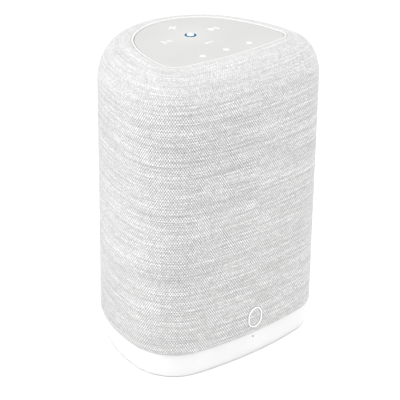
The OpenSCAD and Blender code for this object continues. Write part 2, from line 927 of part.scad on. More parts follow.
module audio_jack() {
    y = io_board_y + board_t;
    color("black") difference() {
        facing_back(audio_at[0], y, audio_at[1]) cylinder(r = 3.9, h = 16.6);
        facing_back(audio_at[0], y + 2, audio_at[1]) cylinder(r = 1.8, h = 20);
    }
}

module service_button() {
    stem_y = io_board_y + board_t + 4 + button_travel + 0.1;
    flange_y = panel_face - panel_wall - 1.1;
    color("silver") {
        facing_back(button_at[0], flange_y, button_at[1]) {
            cylinder(r = 4, h = 1);
            cylinder(r = button_r, h = 1.1 + panel_wall + 1.2);
        }
        facing_back(button_at[0], stem_y, button_at[1]) cylinder(r = 1.5, h = flange_y - stem_y + 0.5);
    }
}

module io_board() {
    y = io_board_y;
    color("darkgreen") difference() {
        union() {
            block([-34, y, 19.5], [34, y + board_t, 57]);
            block(
                [button_at[0] - 3, y + 1, button_at[1] - 3],
                [button_at[0] + 3, y + board_t + 4, button_at[1] + 3]
            );
        }
        for (p = rear_posts)
            facing_back(p[0], y - 1, p[1]) cylinder(r = 3.2, h = 4);
        translate([inlet_at[0] - 8, y - 1, inlet_at[1] - 5]) cube([16, 4, 10]);
    }
}

fabric_sleeve();
grille_frame();
top_cap();
top_trim_ring();
touch_panel();
touch_icons();
status_ring();
touch_board();
ring_leds();
top_deck();
deck_screws();
antennas();
emblem();
base_ring();
base_plate();
foot_pad();
threaded_insert();
base_screws();
sensor_lens();
sensor_board();
front_baffle();
cabinet_shell();
cabinet_gasket();
baffle_screws();
bass_port();
damping_foam();
woofer_basket();
woofer_cone();
woofer_dust_cap();
coil_former();
voice_coil();
woofer_surround();
woofer_spider();
woofer_top_plate();
woofer_magnet();
woofer_yoke();
speaker_leads();
tweeter_faceplate();
tweeter_dome();
tweeter_magnet();
tweeter_yoke();
driver_screws();
main_board();
board_screws();
heatsink();
wifi_module();
psu_board();
psu_standoffs();
psu_transformer();
psu_capacitors();
bay_frame();
rear_panel();
rear_panel_screws();
mains_inlet();
mains_pins();
ethernet_jack();
usb_jack();
audio_jack();
service_button();
io_board();
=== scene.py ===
"""Looks of a fabric-covered smart speaker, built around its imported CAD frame. Everything is in metres."""
import itertools
import json
import math

import bpy
import numpy as np
from mathutils import Matrix, Vector


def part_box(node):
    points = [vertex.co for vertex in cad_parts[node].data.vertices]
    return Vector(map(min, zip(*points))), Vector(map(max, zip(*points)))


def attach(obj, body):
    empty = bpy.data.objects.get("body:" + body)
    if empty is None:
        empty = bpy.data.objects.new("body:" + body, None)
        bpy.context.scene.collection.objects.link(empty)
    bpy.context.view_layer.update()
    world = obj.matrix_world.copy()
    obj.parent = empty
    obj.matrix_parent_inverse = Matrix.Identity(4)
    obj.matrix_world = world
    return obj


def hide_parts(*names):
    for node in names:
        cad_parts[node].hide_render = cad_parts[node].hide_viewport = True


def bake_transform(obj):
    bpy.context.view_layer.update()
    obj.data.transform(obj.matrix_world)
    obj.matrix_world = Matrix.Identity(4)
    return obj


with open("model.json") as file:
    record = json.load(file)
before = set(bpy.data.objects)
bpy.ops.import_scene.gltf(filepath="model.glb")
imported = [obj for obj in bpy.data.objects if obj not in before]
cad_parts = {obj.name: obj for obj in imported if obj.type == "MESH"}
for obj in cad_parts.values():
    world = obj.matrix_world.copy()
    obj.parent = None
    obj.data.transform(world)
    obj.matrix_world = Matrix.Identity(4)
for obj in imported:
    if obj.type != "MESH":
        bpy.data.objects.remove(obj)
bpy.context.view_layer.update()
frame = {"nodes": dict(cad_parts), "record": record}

MM = 0.001

# Radii of the outline's arcs, seen from above, and where their centres sit
FRONT_R = 234 * MM
CORNER_R = 28.5 * MM
SIDE_R = 102 * MM
BACK_R = 59.7 * MM
CORNER_X = 35.4 * MM
BACK_OFFSET = 17.6 * MM

# The rounded shoulder over the straight wall
SHOULDER_H = 25 * MM
SHOULDER_POWER = 2.29
RIM_INSET = 19.2 * MM

# Heights and depths that the frame gives
SLEEVE_LOW, SLEEVE_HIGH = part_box("fabric_sleeve")
FRONT_Y = SLEEVE_LOW.y
BODY_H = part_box("top_trim_ring")[1].z
SHOULDER_Z = BODY_H - SHOULDER_H
BASE_LOW, BASE_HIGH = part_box("base_ring")
TRIM_LOW, TRIM_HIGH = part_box("top_trim_ring")
PANEL_LOW, PANEL_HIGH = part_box("touch_panel")
PANEL_TOP = PANEL_HIGH.z
BAY_LOW, BAY_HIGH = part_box("bay_frame")

# Cloth: thickness, the pitch of its upright and level threads, its back seam, and its gap round the rear bay
CLOTH_T = 0.6 * MM
WARP_PITCH = 0.72 * MM
WEFT_PITCH = 1.13 * MM
SEAM_W = 1.2 * MM
CLOTH_GAP = 0.2 * MM

# Trim ring and touch panel: the gap round each, and how far the panel's middle sits below its edge
TRIM_GAP = 0.2 * MM
TRIM_W = 1.3 * MM
PANEL_GAP = 0.25 * MM
LIP_W = 0.9 * MM
DISH = 0.12 * MM

# Touch controls
ICON_DX = 17.2 * MM
ICON_DY = 15.9 * MM
ICON_PROUD = 0.05 * MM
PRESET_R = 1.8 * MM
RING_LOW, RING_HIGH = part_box("status_ring")
RING_Y = (RING_LOW.y + RING_HIGH.y) / 2
RING_R = (RING_HIGH.x - RING_LOW.x) / 2
RING_LINE = 1.4 * MM
BUTTON_PROUD = 0.65 * MM

BADGE_LINE = 1 * MM
OUTLINE_POINTS = 384

# Turns that lay +Z toward the back and toward the front
BACKWARD = Matrix.Rotation(math.radians(-90), 4, "X")
FORWARD = Matrix.Rotation(math.radians(90), 4, "X")


# Outline and meshes

def outline_arcs():
    """The outline's arcs, anticlockwise from the middle of the front: centre, radius, first and last angle.

    Each arc is tangent to the next, and the side arc is found from the corner and back arcs that it joins.
    """
    front_c = np.array([0.0, FRONT_Y + FRONT_R])
    corner_c = np.array([CORNER_X, front_c[1] - math.sqrt((FRONT_R - CORNER_R) ** 2 - CORNER_X ** 2)])
    back_c = np.array([0.0, corner_c[1] + BACK_OFFSET])
    gap = np.linalg.norm(corner_c - back_c)
    toward = (corner_c - back_c) / gap
    along = ((SIDE_R - BACK_R) ** 2 - (SIDE_R - CORNER_R) ** 2 + gap ** 2) / (2 * gap)
    across = math.sqrt((SIDE_R - BACK_R) ** 2 - along ** 2)
    side_c = back_c + along * toward + across * np.array([toward[1], -toward[0]])

    def bearing(start, end):
        return math.atan2(end[1] - start[1], end[0] - start[0])

    turns = [
        -math.pi / 2, bearing(front_c, corner_c), bearing(side_c, corner_c),
        bearing(side_c, back_c), math.pi / 2,
    ]
    right = list(zip(
        [front_c, corner_c, side_c, back_c], [FRONT_R, CORNER_R, SIDE_R, BACK_R], turns[:-1], turns[1:]
    ))
    left = [(c * [-1, 1], r, math.pi - a1, math.pi - a0) for c, r, a0, a1 in reversed(right)]
    return right + left


ARCS = outline_arcs()
ARC_CENTRES = np.array([arc[0] for arc in ARCS])
ARC_RADII = np.array([arc[1] for arc in ARCS])
ARC_ANGLES = np.array([arc[2] for arc in ARCS])
ARC_ENDS = np.cumsum([r * (a1 - a0) for _, r, a0, a1 in ARCS])
PERIMETER = ARC_ENDS[-1]


def around(count):
    """Angles of a number of points spread round a circle."""
    return np.linspace(0, 2 * math.pi, count, endpoint=False)


def outline(s, inset=0.0):
    """Points at distances s along the outline, each moved in by inset."""
    s = np.asarray(s, float) % PERIMETER
    arc = np.searchsorted(ARC_ENDS, s, side="right")
    begun = np.concatenate([[0.0], ARC_ENDS[:-1]])[arc]
    angle = ARC_ANGLES[arc] + (s - begun) / ARC_RADII[arc]
    outward = np.stack([np.cos(angle), np.sin(angle)], -1)
    return ARC_CENTRES[arc] + (ARC_RADII[arc] - inset)[..., None] * outward


def eased(profile, radius, closed=True):
    """A profile with its corners rounded over about radius."""
    steps = 4
    points = [Vector(p) for p in profile]
    made = []
    for i, corner in enumerate(points):
        if not closed and i in (0, len(points) - 1):
            made.append(tuple(corner))
            continue
        before, after = points[i - 1], points[(i + 1) % len(points)]
        a = corner + (before - corner).normalized() * min(radius, (before - corner).length * 0.45)
        b = corner + (after - corner).normalized() * min(radius, (after - corner).length * 0.45)
        for k in range(steps + 1):
            t = k / steps
            made.append(tuple(a * (1 - t) ** 2 + corner * 2 * t * (1 - t) + b * t ** 2))
    return made


def add_object(name, vertices, faces, material, smooth=True):
    mesh = bpy.data.meshes.new(name)
    mesh.from_pydata([tuple(v) for v in vertices], [], faces)
    mesh.validate()
    mesh.update()
    mesh.materials.append(material)
    if smooth:
        mesh.shade_smooth()
        mesh.set_sharp_from_angle(angle=math.radians(50))
    made = bpy.data.objects.new(name, mesh)
    bpy.context.scene.collection.objects.link(made)
    return made


def grid_faces(rows, columns, wrap_rows=True, wrap_columns=True):
    """Quads over a grid of points, each row going once round."""
    return [
        (j * columns + i, j * columns + k, l * columns + k, l * columns + i)
        for j in range(rows if wrap_rows else rows - 1)
        for l in [(j + 1) % rows]
        for i in range(columns if wrap_columns else columns - 1)
        for k in [(i + 1) % columns]
    ]


def outline_band(name, profile, material):
    """A closed profile of (inset, height) points, listed up the outside first, carried round the outline."""
    n = OUTLINE_POINTS
    s = np.arange(n) * PERIMETER / n
    rows = [np.column_stack([outline(s, inset), np.full(n, z)]) for inset, z in profile]
    return add_object(name, np.concatenate(rows), grid_faces(len(profile), n), material)


def belongs(piece, slot, *nodes, body="cabinet"):
    """Puts a piece on its body and in place of its CAD nodes. Its slot is not used."""
    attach(piece, body)
    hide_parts(*nodes)
    return piece


# Materials

def grey(value):
    return (value, value, value)


class Graph:
    """A material's nodes, written as expressions: each call adds a node and gives its output."""

    def __init__(self, name, **surface):
        self.material = bpy.data.materials.new(name)
        self.material.use_nodes = True
        self.nodes = self.material.node_tree.nodes
        self.links = self.material.node_tree.links
        self.shader = self.nodes["Principled BSDF"]
        for socket, value in surface.items():
            self.put(self.shader.inputs[socket.replace("_", " ")], value)

    def put(self, socket, value):
        if isinstance(value, bpy.types.NodeSocket):
            self.links.new(value, socket)
        elif isinstance(value, tuple) and len(value) == 3 and socket.type == "RGBA":
            socket.default_value = (*value, 1.0)
        else:
            socket.default_value = value

    def node(self, kind, inputs=(), out=0, **settings):
        made = self.nodes.new("ShaderNode" + kind)
        for key, value in settings.items():
            setattr(made, key, value)
        for key, value in dict(inputs).items():
            self.put(made.inputs[key], value)
        return made.outputs[out]

    def math(self, operation, a, b=0.0):
        return self.node("Math", {0: a, 1: b}, operation=operation)

    def blend(self, factor, low, high):
        """low where factor is 0 and high where it is 1, as colours."""
        return self.node("Mix", {0: factor, 6: low, 7: high}, out=2, data_type="RGBA")

    def ramp(self, value, low, high, to_low=0.0, to_high=1.0):
        """value from low..high carried to to_low..to_high, and held at the ends."""
        return self.node("MapRange", {
            "Value": value, "From Min": low, "From Max": high, "To Min": to_low, "To Max": to_high
        })

    def place(self, scale=(1, 1, 1)):
        """Places on the object in metres, so that a pattern keeps its real size."""
        where = self.node("TexCoord", out=3)
        return self.node("Mapping", {"Vector": where, "Scale": scale})

    def noise(self, where, scale, detail=2.0, roughness=0.5):
        return self.node(
            "TexNoise", {"Vector": where, "Scale": scale, "Detail": detail, "Roughness": roughness}
        )

    def set(self, socket, value):
        self.put(self.shader.inputs[socket], value)

    def bump(self, height, distance, strength=1.0, under=None):
        inputs = {"Height": height, "Distance": distance, "Strength": strength}
        if under is not None:
            inputs["Normal"] = under
        return self.node("Bump", inputs)


def along_threads(g, lengthwise, rate, thread, jump):
    """Noise that drifts along each thread and starts afresh on the next one."""
    along = g.math("MULTIPLY", lengthwise, rate)
    across = g.math("MULTIPLY", thread, jump)
    return g.noise(g.node("CombineXYZ", {0: along, 1: across}), 1, 2)


def thread_crown(g, across):
    """The round of a thread across its width, from 0 at its edges to 1 along its middle."""
    side = g.math("SUBTRACT", g.math("MULTIPLY", g.math("FRACT", across), 2.0), 1.0)
    return g.math("SUBTRACT", 1.0, g.math("MULTIPLY", side, side))


def cloth_material():
    """Plain weave with heathered, slubbed level threads. The UV map is in metres."""
    g = Graph("speaker_cloth", Roughness=0.92, Sheen_Weight=0.25, Sheen_Roughness=0.5)
    u = g.node("SeparateXYZ", {0: g.node("UVMap", uv_map="cloth")})
    v = u.node.outputs[1]
    warps = round(PERIMETER / WARP_PITCH / 2) * 2
    x = g.math("MULTIPLY", u, warps / PERIMETER)
    y = g.math("MULTIPLY", v, 1 / WEFT_PITCH)
    column = g.math("FLOOR", x)
    half_row = g.math("FLOOR", g.math("MULTIPLY", y, 2.0))

    # 1 where a level thread lies over an upright one, -1 where it dives under
    wave_x = g.math("SINE", g.math("MULTIPLY", x, math.pi))
    wave_y = g.math("SINE", g.math("MULTIPLY", y, math.pi))
    over = g.math("MULTIPLY", wave_x, wave_y)

    # Drawn tight over the shoulder, the threads lie flatter and stand out less
    wall = SHOULDER_Z - SLEEVE_LOW.z
    keep = g.ramp(v, wall, wall + 20 * MM, 1.0, 0.3)

    # Long and short lengths of level thread run lighter or darker
    long_drift = along_threads(g, u, 20, half_row, 3.77)
    short_drift = along_threads(g, u, 110, half_row, 7.31)
    streak = g.math("ADD", g.math("MULTIPLY", long_drift, 0.74), g.math("MULTIPLY", short_drift, 0.26))
    streak = g.ramp(streak, 0.36, 0.66)
    contrast = g.ramp(keep, 0.3, 1.0, 0.75, 1.0)
    streak = g.math("ADD", g.math("MULTIPLY", g.math("SUBTRACT", streak, 0.5), contrast), 0.5)
    weft_colour = g.blend(streak, grey(0.6), grey(0.97))

    warp_tone = g.ramp(along_threads(g, v, 220, column, 5.17), 0.3, 0.7)
    warp_colour = g.blend(warp_tone, grey(0.22), grey(0.4))

    # Level threads show where they lie over, and a light one hides more of the upright ones
    spread = g.math("MULTIPLY", g.math("SUBTRACT", streak, 0.5), 0.3)
    on_weft = g.ramp(g.math("ADD", over, spread), -0.6, 0.4)
    on_weft = g.math("ADD", g.math("MULTIPLY", g.math("SUBTRACT", on_weft, 0.56), keep), 0.56)
    thread = g.blend(on_weft, warp_colour, weft_colour)

    # Some crossings are darker, and fine fibres vary the tone
    cell = g.node("CombineXYZ", {0: column, 1: half_row})
    fleck = g.node("TexWhiteNoise", {0: cell}, noise_dimensions="2D")
    thread = g.blend(g.ramp(fleck, 0.3, 1.0, 0.0, 0.62), thread, grey(0.36))
    strand = g.node("CombineXYZ", {0: g.math("MULTIPLY", u, 2500), 1: g.math("MULTIPLY", v, 4200)})
    fibre = g.noise(strand, 1, 3, 0.7)
    shade = g.ramp(fibre, 0.25, 0.75, 0.92, 1.06)
    shade = g.node("CombineXYZ", {0: shade, 1: shade, 2: shade})
    g.set("Base Color", g.node("VectorMath", {0: thread, 1: shade}, operation="MULTIPLY"))

    # Whichever thread is higher gives the relief
    warp = g.math("SUBTRACT", g.math("MULTIPLY", thread_crown(g, x), 0.35), g.math("MULTIPLY", over, 0.5))
    weft = g.math("ADD", g.math("MULTIPLY", thread_crown(g, y), 0.6), g.math("MULTIPLY", over, 0.5))
    height = g.math("ADD", g.math("MAXIMUM", warp, weft), g.math("MULTIPLY", streak, 0.3))
    height = g.math("MULTIPLY", height, keep)
    g.set("Normal", g.bump(fibre, 0.03 * MM, 0.6, under=g.bump(height, 0.18 * MM)))
    return g.material


def moulded(name, colour, roughness=0.45, grain=0.25 * MM, depth=0.01 * MM, mottle=0.02, **surface):
    """Moulded plastic: a faintly cloudy colour, a fine tool texture, and gloss that varies a little."""
    g = Graph(name, **surface)
    cloud = g.noise(g.place(), 60, 3)
    low = tuple(c * (1 - mottle) for c in colour)
    high = tuple(min(1.0, c * (1 + mottle)) for c in colour)
    g.set("Base Color", g.blend(g.ramp(cloud, 0.3, 0.7), low, high))
    texture = g.noise(g.place(), 1 / grain, 4, 0.6)
    wear = g.math("ADD", cloud, g.math("MULTIPLY", texture, 0.5))
    g.set("Roughness", g.ramp(wear, 0.4, 1.1, roughness * 0.88, roughness * 1.12))
    g.set("Normal", g.bump(texture, depth))
    return g.material


def ring_reach(g, where):
    """Distance of each place from the middle of the lit ring, seen from above."""
    x = g.node("SeparateXYZ", {0: where})
    y = g.math("SUBTRACT", x.node.outputs[1], RING_Y)
    return g.math("SQRT", g.math("ADD", g.math("MULTIPLY", x, x), g.math("MULTIPLY", y, y)))


def panel_finish():
    """Fine satin plastic in a grey darker than its real white, as painted shade on the top, with a painted
    glow of the ring's light round its middle.
    """
    g = Graph("panel_white")
    where = g.place()
    cloud = g.noise(where, 40, 3)
    texture = g.noise(where, 1 / (0.18 * MM), 4, 0.6)
    # The grey sits well below the panel's real white: painted shade that holds the top down under the
    # overhead lamp
    g.set("Base Color", g.blend(g.ramp(cloud, 0.3, 0.7), (0.51, 0.51, 0.5), (0.53, 0.53, 0.52)))
    # Painted light: the panel itself glows faintly near the ring, fading out by 30 mm, as if lit by it
    painted_ring_glow = g.ramp(ring_reach(g, where), RING_R, 30 * MM, 1.0, 0.0)
    g.set("Emission Color", g.blend(g.math("MULTIPLY", painted_ring_glow, painted_ring_glow), grey(0.0), grey(1.0)))
    g.set("Emission Strength", 0.055)
    g.set("Roughness", g.ramp(texture, 0.3, 0.7, 0.32, 0.4))
    g.set("Normal", g.bump(texture, 0.01 * MM))
    return g.material


def lit_material():
    """The ring's light guide: a deep blue glow, brighter along its middle than at its edges."""
    g = Graph("ring_light", Roughness=0.6, Specular_IOR_Level=0.0)
    where = g.place()
    middle = RING_R - RING_LINE / 2
    off = g.math("ABSOLUTE", g.math("SUBTRACT", ring_reach(g, where), middle))
    edge = g.ramp(off, 0.0, RING_LINE / 2)
    grain = g.noise(where, 2500, 3)
    glow = g.blend(edge, (0.0, 0.2, 0.36), (0.0, 0.09, 0.17))
    glow = g.blend(g.math("MULTIPLY", grain, 0.1), glow, (0.0, 0.3, 0.55))
    g.set("Base Color", g.blend(edge, (0.004, 0.03, 0.06), (0.002, 0.015, 0.03)))
    g.set("Emission Color", glow)
    g.set("Emission Strength", 0.9)
    return g.material


def painted_glow_material():
    """The white middle of the lit ring, with a faint painted white glow that turns to a painted blue glow of
    the ring's light near its rim.
    """
    g = Graph("painted_glow_white", Roughness=0.35)
    where = g.place()
    # Painted light: towards the rim the colour and the glow turn unevenly blue, as if lit by the ring, and
    # all over the button glows faintly white
    rim = g.ramp(ring_reach(g, where), 0.55 * RING_R, RING_R - RING_LINE)
    rim = g.math("MULTIPLY", rim, g.ramp(g.noise(where, 900, 2), 0.3, 0.7, 0.7, 1.0))
    g.set("Base Color", g.blend(rim, (0.9, 0.92, 0.93), (0.55, 0.75, 0.84)))
    g.set("Emission Color", g.blend(rim, (1.0, 1.0, 1.0), (0.5, 0.8, 0.95)))
    g.set("Emission Strength", 0.12)
    return g.material


def metal(name, colour, roughness=0.32, drawn=(1, 1, 1), depth=0.004 * MM):
    """Bare metal with fine scratches, closer together across the way it was drawn, and an uneven gloss."""
    g = Graph(name, Metallic=1.0)
    scratch = g.noise(g.place(drawn), 900, 4, 0.65)
    stain = g.noise(g.place(), 45, 3)
    dull = tuple(c * 0.9 for c in colour)
    g.set("Base Color", g.blend(g.ramp(stain, 0.3, 0.7), dull, colour))
    g.set("Roughness", g.ramp(scratch, 0.3, 0.7, roughness * 0.8, roughness * 1.25))
    g.set("Normal", g.bump(scratch, depth))
    return g.material


def board_material(name, mask):
    """Solder mask over copper tracks, with rows of plated holes. Patterns lie in x and in y + z."""
    g = Graph(name, Roughness=0.34)
    where = g.place()
    x = g.node("SeparateXYZ", {0: where})
    v = g.math("ADD", x.node.outputs[1], x.node.outputs[2])
    pitch = 2.54 * MM
    column = g.math("FRACT", g.math("DIVIDE", x, pitch / 2))
    row = g.math("FRACT", g.math("DIVIDE", v, pitch / 2))
    busy = g.noise(where, 90, 1)
    across = g.math("MULTIPLY", g.math("LESS_THAN", row, 0.3), g.math("GREATER_THAN", busy, 0.52))
    upward = g.math("MULTIPLY", g.math("LESS_THAN", column, 0.3), g.math("LESS_THAN", busy, 0.46))
    track = g.math("MAXIMUM", across, upward)
    off_x = g.math("SUBTRACT", g.math("FRACT", g.math("DIVIDE", x, pitch)), 0.5)
    off_v = g.math("SUBTRACT", g.math("FRACT", g.math("DIVIDE", v, pitch)), 0.5)
    off = g.math("ADD", g.math("MULTIPLY", off_x, off_x), g.math("MULTIPLY", off_v, off_v))
    drilled = g.math("GREATER_THAN", g.noise(where, 60, 0), 0.58)
    hole = g.math("MULTIPLY", g.math("LESS_THAN", off, 0.05), drilled)
    bright = tuple(min(1.0, c * 1.9) for c in mask)
    colour = g.blend(track, mask, bright)
    g.set("Base Color", g.blend(hole, colour, (0.72, 0.56, 0.25)))
    g.set("Metallic", hole)
    g.set("Normal", g.bump(g.math("ADD", track, hole), 0.03 * MM))
    return g.material


def woven(name, low, high, pitch, depth):
    """A close plain weave seen from the front, its threads along x and z."""
    g = Graph(name, Roughness=0.8, Sheen_Weight=0.2)
    where = g.place()
    x = g.node("SeparateXYZ", {0: where})
    z = x.node.outputs[2]
    turn = math.pi / pitch
    wave_x = g.math("SINE", g.math("MULTIPLY", x, turn))
    wave_z = g.math("SINE", g.math("MULTIPLY", z, turn))
    over = g.math("MULTIPLY", wave_x, wave_z)
    fuzz = g.noise(where, 3000, 3)
    g.set("Base Color", g.blend(g.ramp(g.math("ADD", over, fuzz), -0.5, 1.5), low, high))
    g.set("Normal", g.bump(g.math("ADD", over, fuzz), depth))
    return g.material


def fibrous(name, low, high, scale, depth, roughness=0.9, stretch=(1, 1, 1)):
    """Matted fibres or open foam: cells in its colour and its relief."""
    g = Graph(name, Roughness=roughness)
    where = g.place(stretch)
    cell = g.node("TexVoronoi", {"Vector": where, "Scale": scale})
    strand = g.noise(where, scale * 2.5, 5, 0.7)
    mix = g.math("ADD", g.math("MULTIPLY", cell, 0.6), g.math("MULTIPLY", strand, 0.6))
    g.set("Base Color", g.blend(g.ramp(mix, 0.2, 0.9), low, high))
    g.set("Normal", g.bump(mix, depth))
    return g.material


def wound(name, low, high, pitch, axis, roughness=0.3, metallic=0.0):
    """Turns of wire or tape laid side by side along one axis."""
    g = Graph(name, Metallic=metallic, Roughness=roughness)
    where = g.place()
    along = g.node("SeparateXYZ", {0: where}, out=axis)
    turn = g.math("SINE", g.math("MULTIPLY", along, 2 * math.pi / pitch))
    stray = g.noise(where, 500, 3)
    g.set("Base Color", g.blend(g.ramp(g.math("ADD", turn, stray), -0.8, 1.6), low, high))
    g.set("Normal", g.bump(g.math("ADD", turn, g.math("MULTIPLY", stray, 0.4)), pitch * 0.25))
    return g.material


def inner_finishes():
    """The material of each slot whose CAD nodes keep their own shape."""
    black = (0.035, 0.035, 0.038)
    return {
        "cage_plastic": moulded("cage_plastic", (0.33, 0.33, 0.335), 0.6),
        "cap_plastic": moulded("cap_plastic", (0.38, 0.38, 0.385), 0.6),
        "inner_plastic": moulded("inner_plastic", black, 0.55, mottle=0.12),
        "panel_grey": moulded("panel_grey", grey(0.6), 0.5, grain=0.4 * MM, depth=0.03 * MM),
        "inlet_black": moulded("inlet_black", black, 0.4, mottle=0.1),
        "faceplate_plastic": moulded("faceplate_plastic", black, 0.35, mottle=0.1),
        "led_package": moulded("led_package", (0.86, 0.83, 0.7), 0.25),
        "lens_dark": moulded("lens_dark", (0.02, 0.02, 0.025), 0.12, depth=0.002 * MM, mottle=0.2),
        "lead_insulation": moulded("lead_insulation", (0.5, 0.03, 0.03), 0.4, mottle=0.08),
        "capacitor_sleeve": moulded("capacitor_sleeve", (0.03, 0.04, 0.13), 0.3, mottle=0.1),
        "foot_rubber": moulded("foot_rubber", grey(0.6), 0.85, grain=0.5 * MM, depth=0.05 * MM, mottle=0.08),
        "surround_rubber": moulded("surround_rubber", grey(0.02), 0.6, grain=0.4 * MM, mottle=0.15),
        "former_film": moulded("former_film", (0.45, 0.2, 0.04), 0.25, mottle=0.08, Coat_Weight=0.5),
        "magnet_ferrite": moulded(
            "magnet_ferrite", (0.05, 0.05, 0.052), 0.75, grain=0.6 * MM, depth=0.04 * MM, mottle=0.2
        ),
        "circuit_board": board_material("circuit_board", (0.012, 0.11, 0.045)),
        "psu_laminate": board_material("psu_laminate", (0.33, 0.2, 0.07)),
        "screw_steel": metal("screw_steel", (0.42, 0.42, 0.43), 0.35),
        "insert_brass": metal("insert_brass", (0.72, 0.53, 0.22), 0.3, drawn=(1, 1, 8)),
        "basket_steel": metal("basket_steel", (0.12, 0.12, 0.125), 0.5, depth=0.02 * MM),
        "motor_steel": metal("motor_steel", grey(0.5), 0.38, drawn=(1, 6, 1)),
        "magnet_plated": metal("magnet_plated", (0.7, 0.69, 0.66), 0.22),
        "heatsink_aluminium": metal("heatsink_aluminium", (0.75, 0.76, 0.77), 0.35, drawn=(9, 9, 1)),
        "shield_metal": metal("shield_metal", (0.66, 0.66, 0.64), 0.3, drawn=(1, 7, 7)),
        "pin_metal": metal("pin_metal", (0.78, 0.76, 0.7), 0.25, drawn=(6, 1, 6)),
        "jack_metal": metal("jack_metal", (0.62, 0.62, 0.61), 0.34, drawn=(1, 6, 6)),
        "button_metal": metal("button_metal", grey(0.66), 0.28, drawn=(8, 1, 8)),
        "gasket_foam": fibrous("gasket_foam", grey(0.01), grey(0.06), 1800, 0.15 * MM),
        "damping_wool": fibrous(
            "damping_wool", (0.45, 0.43, 0.36), (0.82, 0.8, 0.72), 420, 0.9 * MM, stretch=(0.35, 1, 1)
        ),
        "cone_paper": fibrous("cone_paper", (0.015, 0.015, 0.016), (0.05, 0.05, 0.052), 900, 0.08 * MM, 0.75),
        "spider_cloth": woven("spider_cloth", (0.35, 0.2, 0.05), (0.72, 0.5, 0.2), 0.5 * MM, 0.1 * MM),
        "dome_silk": woven("dome_silk", (0.01, 0.01, 0.012), (0.05, 0.05, 0.055), 0.22 * MM, 0.04 * MM),
        "coil_copper": wound("coil_copper", (0.3, 0.09, 0.03), (0.75, 0.32, 0.13), 0.25 * MM, 1, 0.28, 1.0),
        "transformer_tape": wound(
            "transformer_tape", (0.55, 0.42, 0.05), (0.8, 0.66, 0.12), 3.5 * MM, 2, 0.4
        ),
    }


# Outer pieces

def shoulder_profile(inset, top, steps):
    """The shoulder's curve as (inset, height) points from the wall to the rim."""
    made = []
    for i in range(steps + 1):
        a = math.pi / 2 * i / steps
        across = 1 - math.cos(a) ** (2 / SHOULDER_POWER)
        made.append((
            inset + (RIM_INSET - inset) * across,
            SHOULDER_Z + (top - SHOULDER_Z) * math.sin(a) ** (2 / SHOULDER_POWER),
        ))
    return made


def window_columns():
    """Distances along the outline for the cloth's columns, and where the rear window begins and ends."""
    half = BACK_R * math.asin((BAY_HIGH.x + CLOTH_GAP) / BACK_R)
    edges = [0, PERIMETER / 2 - half, PERIMETER / 2 + half, PERIMETER]
    made = []
    for a, b in zip(edges[:-1], edges[1:]):
        made.extend(np.linspace(a, b, 2 * math.ceil((b - a) / (3.2 * MM)), endpoint=False))
    return np.array(made), edges[1], edges[2]


def spaced(a, b, step):
    return list(np.linspace(a, b, max(2, math.ceil((b - a) / step)), endpoint=False))


def cloth_profiles():
    """The cloth's outside and inside as (inset, height) points from its foot up, and the window's rows."""
    low, high = BAY_LOW.z - CLOTH_GAP, BAY_HIGH.z + CLOTH_GAP
    foot = SLEEVE_LOW.z
    levels = [foot + 0.05 * MM, foot + 0.3 * MM, foot + 0.9 * MM]
    levels += spaced(foot + 1.6 * MM, low, 1.2 * MM)
    levels += spaced(low, high, 1.6 * MM)
    levels += spaced(high, SHOULDER_Z, 1.6 * MM)
    hem = [0.55 * MM, 0.22 * MM, 0.04 * MM] + [0.0] * (len(levels) - 3)
    outer = list(zip(hem, levels)) + shoulder_profile(0.0, SLEEVE_HIGH.z, 40)
    outer += [
        (RIM_INSET + 0.12 * MM, SLEEVE_HIGH.z - 0.12 * MM),
        (RIM_INSET + 0.15 * MM, SLEEVE_HIGH.z - 0.5 * MM),
    ]
    inner = [(CLOTH_T + tuck * 0.4, z) for tuck, z in zip(hem, levels)]
    inner += shoulder_profile(CLOTH_T, SLEEVE_HIGH.z - CLOTH_T, 40)
    return outer, inner, levels.index(low), levels.index(high)


def cloth_faces(rows, columns, outer_rows, window):
    """Quads of the sleeve's two sides and its edges, with a walled window cut through both sides."""
    low, high, first, last = window

    def cut(j, i):
        k = rows - 1 - j
        through_outside = j < outer_rows - 1 and low <= j < high
        through_inside = j >= outer_rows and low < k <= high
        return first <= i < last and (through_outside or through_inside)

    faces = [
        (j * columns + i, j * columns + k, l * columns + k, l * columns + i)
        for j in range(rows)
        for l in [(j + 1) % rows]
        for i in range(columns)
        for k in [(i + 1) % columns]
        if not cut(j, i)
    ]
    border = [(low, i) for i in range(first, last)] + [(j, last) for j in range(low, high)]
    border += [(high, i) for i in range(last, first, -1)] + [(j, first) for j in range(high, low, -1)]
    for (j, i), (l, k) in zip(border, border[1:] + border[:1]):
        inside_j, inside_l = rows - 1 - j, rows - 1 - l
        faces.append((j * columns + i, l * columns + k, inside_l * columns + k, inside_j * columns + i))
    return faces


def lay_cloth_map(piece, columns, heights):
    """A UV map in metres: u along the outline, v up the cloth's profile."""
    n = len(columns)
    uv = piece.data.uv_layers.new(name="cloth")
    values = np.zeros((len(piece.data.loops), 2))
    for polygon in piece.data.polygons:
        corners = [piece.data.loops[k].vertex_index for k in polygon.loop_indices]
        places = [c % n for c in corners]
        wraps = max(places) - min(places) > n / 2
        for k, c in zip(polygon.loop_indices, corners):
            past = PERIMETER if wraps and c % n < n / 2 else 0.0
            values[k] = (columns[c % n] + past, heights[c // n])
    uv.data.foreach_set("uv", values.ravel())
    uv.active_render = True


